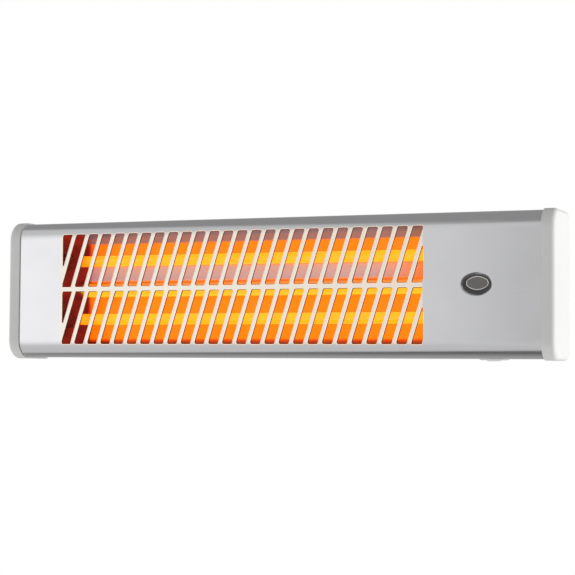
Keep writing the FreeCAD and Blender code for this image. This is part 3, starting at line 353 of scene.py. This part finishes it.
def rolled_mirror():
    """Rolled reflector sheet with rolling lines and soft dents, and lengthwise bands of painted light: painted
    shade low down, matt bands of painted reflection higher up, painted glints of the tubes by the middle, and a
    painted dark red glow past the coils' left end.
    """
    mirror = Finish("mirror", (0.62, 0.50, 0.47), metallic=1.0, roughness=0.2)
    lines = mirror.noise(0.0009, 3, stretch=(0.01, 1, 1))
    dents = mirror.noise(0.03, 2)
    stain = mirror.noise(0.02, 6, uneven=0.65)
    height = mirror.along("Z")
    # Painted light: the dark red below LOWER_DARK is painted shade; the matt bands higher up are painted
    # reflections, fading to orange towards the right.
    bare, dark = (0.64, 0.50, 0.46), (0.34, 0.10, 0.09)
    fade = mirror.ranged(mirror.along("X"), 0, 1, REFLECTION_FADE_START, REFLECTION_FADE_END)
    painted_reflection = mirror.tint(fade, (0.44, 0.78, 1.0), (0.66, 0.46, 0.24))
    color = mirror.stepped(
        height,
        (
            (dark, LOWER_DARK),
            (bare, UPPER_REFLECTION_LOW),
            (painted_reflection, UPPER_REFLECTION_HIGH),
            (bare, TOP_PAINTED_BAND),
            ((0.24, 0.37, 0.62), 1.0),
        ),
        0.0012,
    )
    shine = mirror.stepped(
        height,
        (
            ((1, 1, 1), UPPER_REFLECTION_LOW),
            ((0.06, 0.06, 0.06), UPPER_REFLECTION_HIGH),
            ((1, 1, 1), TOP_PAINTED_BAND),
            ((0.1, 0.1, 0.1), 1.0),
        ),
        0.0012,
    )
    color = mirror.tint(mirror.ranged(stain, 0, 0.2), color, (0.50, 0.38, 0.36))
    # Painted shade and glow: past the coils' left end the sheet is painted dark red and given a red glow.
    unlit = mirror.ranged(mirror.along("X"), 1, 0, UNLIT_START, UNLIT_END)
    mirror.link(mirror.tint(unlit, color, (0.22, 0.02, 0.018)), "Base Color")
    # Painted reflections: orange glints of the tubes either side of the middle, and a faint bluish to orange glow
    # in the upper band.
    painted_reflection_glow = mirror.stepped(
        height,
        (
            ((0.0, 0.0, 0.0), -MIDDLE_LIP),
            ((0.90, 0.52, 0.02), 0.0),
            ((0.80, 0.22, 0.01), MIDDLE_LIP),
            ((0.0, 0.0, 0.0), UPPER_REFLECTION_LOW),
            (mirror.tint(fade, (0.05, 0.045, 0.12), (0.16, 0.03, 0.0)), UPPER_REFLECTION_HIGH),
            ((0.0, 0.0, 0.0), 1.0),
        ),
        0.0008,
    )
    painted_red_glow = mirror.tint(mirror.ranged(stain, 0, 1), (0.10, 0.006, 0.005), (0.24, 0.016, 0.008))
    mirror.link(mirror.tint(unlit, painted_reflection_glow, painted_red_glow), "Emission Color")
    mirror.set("Emission Strength", 1.0)
    mirror.link(shine, "Metallic")
    mirror.link(mirror.ranged(stain, 0.13, 0.24), "Roughness")
    mirror.bump((lines, 0.000004), (dents, 0.0002))
    return mirror


def steatite():
    """Fired insulator: off-white, speckled, slightly chalky, with painted dark red light at the left end of the
    tubes.
    """
    fired = Finish("ceramic", (0.80, 0.76, 0.68), roughness=0.55)
    specks = fired.noise(0.0009, 2)
    glaze = fired.noise(0.008, 5)
    body = fired.tint(fired.ranged(glaze, 0, 1), (0.74, 0.69, 0.60), (0.83, 0.80, 0.73))
    body = fired.tint(fired.ranged(specks, 0, 1, 0.66, 0.74), body, (0.42, 0.34, 0.26))
    # Painted light: towards the tubes' left end the insulator is tinted dark red, standing for the red glow there.
    painted_red_end = fired.ranged(fired.along("X"), 0.92, 0, UNLIT_START, UNLIT_END)
    fired.link(fired.tint(painted_red_end, body, (0.26, 0.035, 0.025)), "Base Color")
    fired.link(fired.ranged(glaze, 0.42, 0.66), "Roughness")
    fired.bump((fired.noise(0.0012, 4), 0.00006), round_edges=0.0003)
    return fired


def smoked_lens():
    """Smoked clear lens: fine upright prism ribs under a smooth surface."""
    lens = Finish("lens", (0.13, 0.12, 0.115), roughness=0.16)
    ribs = lens.add("ShaderNodeTexWave", wave_type="BANDS", bands_direction="X")
    ribs.inputs["Scale"].default_value = 320.0
    ribs.inputs["Distortion"].default_value = 0.3
    lens.tree.links.new(lens.stretched((1, 0, 0.3)), ribs.inputs["Vector"])
    haze = lens.noise(0.004, 4)
    lens.link(lens.tint(ribs.outputs["Fac"], (0.148, 0.139, 0.130), (0.185, 0.172, 0.160)), "Base Color")
    lens.link(lens.ranged(haze, 0.14, 0.24), "Roughness")
    lens.set("Coat Weight", 0.7)
    lens.set("Coat Roughness", 0.08)
    lens.bump((ribs.outputs["Fac"], 0.00001))
    return lens


def moulded(name, color, grain, rough=0.5):
    """Plain moulded plastic with a matt grain and slight sink shading."""
    plastic = Finish(name, color, roughness=rough)
    texture = plastic.noise(grain, 3)
    shading = plastic.noise(0.012, 4)
    plastic.link(plastic.tint(plastic.ranged(shading, 0, 1), shade(color, 0.85), shade(color, 1.08)), "Base Color")
    plastic.link(plastic.ranged(texture, rough - 0.08, rough + 0.12), "Roughness")
    plastic.bump((texture, 0.00003), round_edges=0.0002)
    return plastic


def neon_glass():
    """Small glass bulb with a faint orange fill."""
    glass = Finish("neon", (0.95, 0.55, 0.36), roughness=0.05)
    cloud = glass.noise(0.002, 3)
    glass.link(glass.tint(glass.ranged(cloud, 0, 1), (0.95, 0.50, 0.30), (0.98, 0.72, 0.55)), "Base Color")
    glass.link(glass.ranged(cloud, 0.03, 0.09), "Roughness")
    glass.set("Transmission Weight", 0.8)
    glass.bump((cloud, 0.00001))
    return glass


def silicone():
    """Wire sleeve: braided skin, slightly dusty."""
    skin = Finish("wire_skin", (0.42, 0.10, 0.05), roughness=0.6)
    braid = skin.cells(0.0006, "Distance")
    dust = skin.noise(0.01, 5)
    skin.link(skin.tint(skin.ranged(dust, 0, 1), (0.36, 0.08, 0.04), (0.52, 0.17, 0.10)), "Base Color")
    skin.link(skin.ranged(dust, 0.5, 0.75), "Roughness")
    skin.bump((braid, 0.00006))
    return skin


def make_finishes():
    return {
        "casing": polished_steel(),
        "cap": white_moulding("cap", (0.80, 0.80, 0.785), 0.0008),
        "bush": white_moulding("bush", (0.88, 0.88, 0.86), 0.0005),
        "zinc": galvanised(),
        "fastener": plated("fastener", (0.66, 0.665, 0.66), 0.26),
        "brass": plated("brass", (0.80, 0.58, 0.26), 0.24),
        "quartz": hot_quartz(),
        "coil": glowing_wire(),
        "mirror": rolled_mirror(),
        "ceramic": steatite(),
        "lens": smoked_lens(),
        "inner_plastic": moulded("inner_plastic", (0.075, 0.075, 0.08), 0.0006),
        "block": moulded("block", (0.78, 0.76, 0.70), 0.0007, 0.42),
        "rubber": moulded("rubber", (0.022, 0.022, 0.023), 0.0009, 0.62),
        "neon": neon_glass(),
        "wire_skin": silicone(),
    }


finishes = make_finishes()


def dress_frame():
    """Each CAD node takes the finish of its own material slot."""
    for node in nodes.values():
        for place in node.material_slots:
            place.material = finishes[place.material.name].material


# ---------------------------------------------------------------- pieces


def tube_faces(rings, sides, closed):
    """Quads between rings of vertices, with flat ends unless the tube is closed on itself."""
    faces = []
    for ring in range(rings if closed else rings - 1):
        first, second = ring * sides, (ring + 1) % rings * sides
        for side in range(sides):
            after = (side + 1) % sides
            faces.append((first + side, first + after, second + after, second + side))
    if not closed:
        faces.append(tuple(reversed(range(sides))))
        faces.append(tuple(range((rings - 1) * sides, rings * sides)))
    return faces


def tube_vertices(line, radius, sides, closed):
    """Rings of vertices along a line of points, held square to it without twisting."""
    vertices = []
    across = None
    count = len(line)
    for index, point in enumerate(line):
        before = line[index - 1] if closed or index else point
        after = line[(index + 1) % count] if closed or index < count - 1 else point
        ahead = (after - before).normalized()
        if across is None:
            across = ahead.orthogonal()
        across = (across - ahead * across.dot(ahead)).normalized()
        other = ahead.cross(across)
        for side in range(sides):
            angle = 2 * math.pi * side / sides
            vertices.append(point + radius * (math.cos(angle) * across + math.sin(angle) * other))
    return vertices


def tubes_mesh(name, lines, radius, sides, closed=False):
    """One mesh of round wires, each along its own line of points."""
    vertices, faces = [], []
    for line in lines:
        start = len(vertices)
        vertices += tube_vertices(line, radius, sides, closed)
        faces += [tuple(start + corner for corner in face) for face in tube_faces(len(line), sides, closed)]
    mesh = bpy.data.meshes.new(name)
    mesh.from_pydata(vertices, [], faces)
    mesh.shade_smooth()
    return mesh


def add_piece(name, mesh, body, slot, finish=None):
    """An object that moves with a body. Its finish is its slot's own unless another is given."""
    piece = bpy.data.objects.new(name, mesh)
    scene.collection.objects.link(piece)
    mesh.materials.clear()
    mesh.materials.append((finish or finishes[slot]).material)
    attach(piece, body)
    return piece


def make_coil(name, node):
    """Wound resistance wire with a straight lead at each end, along the CAD coil's axis."""
    low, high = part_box(node)
    middle = (low + high) / 2
    radius = (high.z - low.z) / 2 - COIL_WIRE
    start, end = low.x + COIL_WIRE, high.x - COIL_WIRE
    turns = round((end - start) / COIL_PITCH)
    line = [Vector((start - COIL_LEAD, middle.y, middle.z)), Vector((start - radius, middle.y, middle.z))]
    for step in range(turns * RING_POINTS + 1):
        angle = 2 * math.pi * step / RING_POINTS
        along = start + (end - start) * step / (turns * RING_POINTS)
        line.append(Vector((along, middle.y + radius * math.sin(angle), middle.z + radius * math.cos(angle))))
    line += [Vector((end + radius, middle.y, middle.z)), Vector((end + COIL_LEAD * 0.5, middle.y, middle.z))]
    coil = add_piece(name, tubes_mesh(name, [line], COIL_WIRE, WIRE_SIDES), "heater", "coil")
    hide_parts(node)


def blunt_oval(half_width, half_height, end_radius):
    """Points round an oval of four tangent arcs, as across and up pairs."""
    reach, rise = half_width - end_radius, half_height - end_radius
    flat = half_height + (reach**2 - rise**2) / (2 * rise)
    drop = flat - half_height
    joint = math.atan2(drop, reach)
    arcs = (
        (reach, 0, end_radius, -joint, joint),
        (0, -drop, flat, joint, math.pi - joint),
        (-reach, 0, end_radius, math.pi - joint, math.pi + joint),
        (0, drop, flat, math.pi + joint, 2 * math.pi - joint),
    )
    points = []
    for across, up, radius, first, last in arcs:
        for step in range(OVAL_STEPS):
            angle = first + (last - first) * step / OVAL_STEPS
            points.append((across + radius * math.cos(angle), up + radius * math.sin(angle)))
    return points


def make_bezel():
    """Bright wire rim round the indicator lens, on the floor of its dish."""
    low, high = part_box("indicator_lens")
    middle_x, middle_z = (low.x + high.x) / 2, (low.z + high.z) / 2
    depth = low.y + BEZEL_DEPTH - BEZEL_WIRE * 0.7
    line = [Vector((middle_x + across, depth, middle_z + up)) for across, up in blunt_oval(*BEZEL_OVAL)]
    mesh = tubes_mesh("indicator_bezel", [line], BEZEL_WIRE, 12, closed=True)
    add_piece("indicator_bezel", mesh, "heater", "casing")


def make_collar():
    """Dark collar that slopes from the dish's wall down to the rim of the lens: a dark sheet laid as painted shade
    in the dish.
    """
    low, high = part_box("indicator_lens")
    middle_x, middle_z = (low.x + high.x) / 2, (low.z + high.z) / 2
    floor = low.y + BEZEL_DEPTH
    inner, outer = blunt_oval(*COLLAR_INNER), blunt_oval(*COLLAR_OUTER)
    rings = (
        (inner, 0, floor + COLLAR_SUNK),
        (inner, 0, floor - COLLAR_THICK),
        (outer, COLLAR_LOWER, floor - COLLAR_RISE),
        (outer, COLLAR_LOWER, floor - COLLAR_RISE + COLLAR_THICK),
    )
    vertices = []
    for outline, lower, depth in rings:
        vertices += [(middle_x + across, depth, middle_z - lower + up) for across, up in outline]
    mesh = bpy.data.meshes.new("indicator_shade_collar")
    mesh.from_pydata(vertices, [], tube_faces(len(rings), len(inner), True))
    mesh.shade_smooth()
    add_piece("indicator_shade_collar", mesh, "heater", "inner_plastic")


def slot_outlines():
    """Closed loops where the casing's outer skin meets the walls of the slots cut through it."""
    mesh = nodes["front_casing"].data
    spots = [tuple(round(value * 1e6) for value in vertex.co) for vertex in mesh.vertices]
    skin, walls = set(), []
    for polygon in mesh.polygons:
        corners = [spots[index] for index in polygon.vertices]
        sides = list(zip(corners, corners[1:] + corners[:1]))
        if polygon.normal.y < -0.8:
            skin.update(sides)
        elif abs(polygon.normal.y) < 0.2:
            walls += sides
    after = {first: second for first, second in walls if (second, first) in skin}
    loops = []
    while after:
        start, here = after.popitem()
        loop = [start]
        while here in after:
            loop.append(here)
            here = after.pop(here)
        if here == start:
            loops.append([Vector(spot) * 1e-6 for spot in loop])
    return loops


def inset(loop, distance, depth):
    """A slot's outline, moved inwards by distance and back by depth."""
    middle = sum(loop, Vector()) / len(loop)
    moved = []
    for index, point in enumerate(loop):
        ahead = loop[(index + 1) % len(loop)] - loop[index - 1]
        inwards = Vector((-ahead.z, 0, ahead.x)).normalized()
        if inwards.dot(middle - point) < 0:
            inwards.negate()
        moved.append(point + inwards * distance + Vector((0, depth, 0)))
    return moved


def make_slot_edges():
    """Bright rolled lip round every slot, with a darker wire of painted shade along the sheet's cut edge behind
    it.
    """
    outlines = slot_outlines()
    lips = tubes_mesh("slot_lips", outlines, LIP_WIRE, WIRE_SIDES, closed=True)
    add_piece("slot_lips", lips, "heater", "casing", rolled_lip())
    # Painted shade: a darker wire just inside and behind each slot's edge.
    shade_lines = [inset(loop, SLOT_SHADE_INSET, SLOT_SHADE_DEPTH) for loop in outlines]
    edges = tubes_mesh("slot_edge_shade_wires", shade_lines, SLOT_SHADE_WIRE, WIRE_SIDES, closed=True)
    add_piece("slot_edge_shade_wires", edges, "heater", "casing", slot_edge_shade())


def make_spring():
    """The switch's return spring: its own copy of the CAD spring's mesh, in place of the hidden CAD node."""
    spring = add_piece("return_spring", nodes["pull_return_spring"].data.copy(), "heater", "fastener")
    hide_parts("pull_return_spring")
    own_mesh(spring)


# ---------------------------------------------------------------- room, light and camera


def make_floor():
    """Wide pale disc far below the wall unit."""
    mesh = bpy.data.meshes.new("floor")
    angles = [2 * math.pi * side / FLOOR_SIDES for side in range(FLOOR_SIDES)]
    rim = [(FLOOR_RADIUS * math.cos(angle), FLOOR_RADIUS * math.sin(angle), -FLOOR_DROP) for angle in angles]
    mesh.from_pydata(rim, [], [tuple(range(FLOOR_SIDES))])
    floor = bpy.data.objects.new("floor", mesh)
    scene.collection.objects.link(floor)
    pale = Finish("floor", (0.86, 0.86, 0.855), roughness=0.8)
    patches = pale.ranged(pale.noise(0.6, 4), 0, 1)
    pale.link(pale.tint(patches, (0.84, 0.84, 0.835), (0.88, 0.88, 0.875)), "Base Color")
    pale.set("Emission Color", (1.0, 1.0, 1.0, 1.0))
    pale.set("Emission Strength", 0.26)
    mesh.materials.append(pale.material)
    floor.visible_glossy = False


class Room:
    """Nodes of the studio's light, by direction."""

    def __init__(self):
        world = bpy.data.worlds.new("studio")
        scene.world = world
        world.use_nodes = True
        self.tree = world.node_tree
        self.direction = self.tree.nodes.new("ShaderNodeTexCoord").outputs["Generated"]
        self.background = self.tree.nodes["Background"]

    def math(self, operation, first, second):
        made = self.tree.nodes.new("ShaderNodeMath")
        made.operation = operation
        for socket, value in zip(made.inputs, (first, second)):
            if isinstance(value, (int, float)):
                socket.default_value = value
            else:
                self.tree.links.new(value, socket)
        return made.outputs["Value"]

    def around(self, levels):
        """Brightness by compass angle in degrees: 0 is the front, 90 the right."""
        parts = self.tree.nodes.new("ShaderNodeSeparateXYZ")
        self.tree.links.new(self.direction, parts.inputs["Vector"])
        front = self.math("MULTIPLY", parts.outputs["Y"], -1.0)
        angle = self.math("ARCTAN2", parts.outputs["X"], front)
        share = self.math("ADD", self.math("DIVIDE", angle, 2 * math.pi), 0.5)
        ramp = self.tree.nodes.new("ShaderNodeValToRGB")
        ramp.color_ramp.interpolation = "EASE"
        self.tree.links.new(share, ramp.inputs["Fac"])
        while len(ramp.color_ramp.elements) < len(levels):
            ramp.color_ramp.elements.new(0.5)
        peak = max(level for _, level in levels)
        for element, (degrees, level) in zip(ramp.color_ramp.elements, levels):
            element.position = degrees / 360 + 0.5
            element.color = (level / peak, level / peak, level / peak, 1)
        return self.math("MULTIPLY", ramp.outputs["Color"], peak)

    def weighed(self, weights, shift):
        """The direction's weighted sum of X, Y and Z, plus shift."""
        dot = self.tree.nodes.new("ShaderNodeVectorMath")
        dot.operation = "DOT_PRODUCT"
        self.tree.links.new(self.direction, dot.inputs[0])
        dot.inputs[1].default_value = weights
        return self.math("ADD", dot.outputs["Value"], shift)

    def step(self, source, start, end):
        """0 before start, 1 after end, smooth between."""
        share = self.tree.nodes.new("ShaderNodeMapRange")
        share.interpolation_type = "SMOOTHSTEP"
        share.inputs["From Min"].default_value = start
        share.inputs["From Max"].default_value = end
        self.tree.links.new(source, share.inputs["Value"])
        return share.outputs["Result"]

    def mixed(self, share, first, second):
        mix = self.tree.nodes.new("ShaderNodeMix")
        self.tree.links.new(share, mix.inputs["Factor"])
        for socket, value in ((mix.inputs[2], first), (mix.inputs[3], second)):
            if isinstance(value, float):
                socket.default_value = value
            else:
                self.tree.links.new(value, socket)
        return mix.outputs[0]

    def finish(self, light, backdrop):
        """Surfaces are lit by light; what lies behind them is plain white."""
        seen = self.tree.nodes.new("ShaderNodeLightPath").outputs["Is Camera Ray"]
        self.tree.links.new(self.mixed(seen, light, backdrop), self.background.inputs["Strength"])
        self.background.inputs["Color"].default_value = (1.0, 1.0, 1.0, 1.0)


def make_room():
    room = Room()
    light = room.around(
        [
            (-180, 0.55),
            (-150, 0.50),
            (-105, 1.10),
            (-60, 1.05),
            (-31, 1.09),
            (-17, 0.75),
            (-12.5, 0.50),
            (20, 0.40),
            (50, 0.40),
            (60, 0.10),
            (90, 0.10),
            (100, 0.60),
            (115, 1.20),
            (179, 0.60),
        ]
    )
    height = room.math("ABSOLUTE", room.weighed((0, 0, 1), 0.0), 0.0)
    light = room.mixed(room.step(height, 0.0, 0.75), light, 0.61)
    above = room.math(
        "MULTIPLY",
        room.step(room.weighed((2.04, 1.0, 0), 1.19), -0.15, 0.12),
        room.step(room.weighed((0, 0, 1), 0.0), 0.3, 0.5),
    )
    light = room.mixed(above, light, 0.30)
    below = room.math(
        "MULTIPLY",
        room.step(room.weighed((1.7, 1.0, 0), 0.71), -0.12, 0.12),
        room.step(room.weighed((0, 0, -1), 0.0), 0.22, 0.38),
    )
    far_below = room.mixed(room.step(room.weighed((0, 1, 0), 0.0), -0.2, 0.7), 0.12, 0.36)
    light = room.mixed(below, light, far_below)
    room.finish(light, 1.0)


def add_light(name, place, target, size, power):
    """A soft square light, not mirrored in the polished sheet."""
    data = bpy.data.lights.new(name, "AREA")
    data.size = size
    data.energy = power
    lamp = bpy.data.objects.new(name, data)
    scene.collection.objects.link(lamp)
    lamp.location = place
    lamp.rotation_euler = (Vector(target) - Vector(place)).to_track_quat("-Z", "Y").to_euler()
    lamp.visible_glossy = False


def make_camera():
    data = bpy.data.cameras.new("camera")
    data.lens = CAMERA_LENS
    data.sensor_width = SENSOR
    camera = bpy.data.objects.new("camera", data)
    scene.collection.objects.link(camera)
    yaw, pitch, roll = (math.radians(angle) for angle in (CAMERA_YAW, CAMERA_PITCH, CAMERA_ROLL))
    ahead = Vector((-math.sin(yaw) * math.cos(pitch), math.cos(yaw) * math.cos(pitch), math.sin(pitch)))
    right = Vector((math.cos(yaw), math.sin(yaw), 0.0))
    above = right.cross(ahead)
    turned_right = right * math.cos(roll) + above * math.sin(roll)
    turned_above = above * math.cos(roll) - right * math.sin(roll)
    turn = Matrix((turned_right, turned_above, -ahead)).transposed()
    camera.matrix_world = Matrix.Translation(CAMERA_PLACE) @ turn.to_4x4()
    scene.camera = camera


dress_frame()
make_coil("upper_wound_coil", "upper_heating_coil")
make_coil("lower_wound_coil", "lower_heating_coil")
make_bezel()
make_collar()
make_slot_edges()
make_spring()
make_floor()
make_room()
add_light("side_light", (2.3, 0.35, 0.1), (0.25, -0.05, 0.0), 1.2, 36.0)
make_camera()
scene.view_settings.view_transform = "Standard"
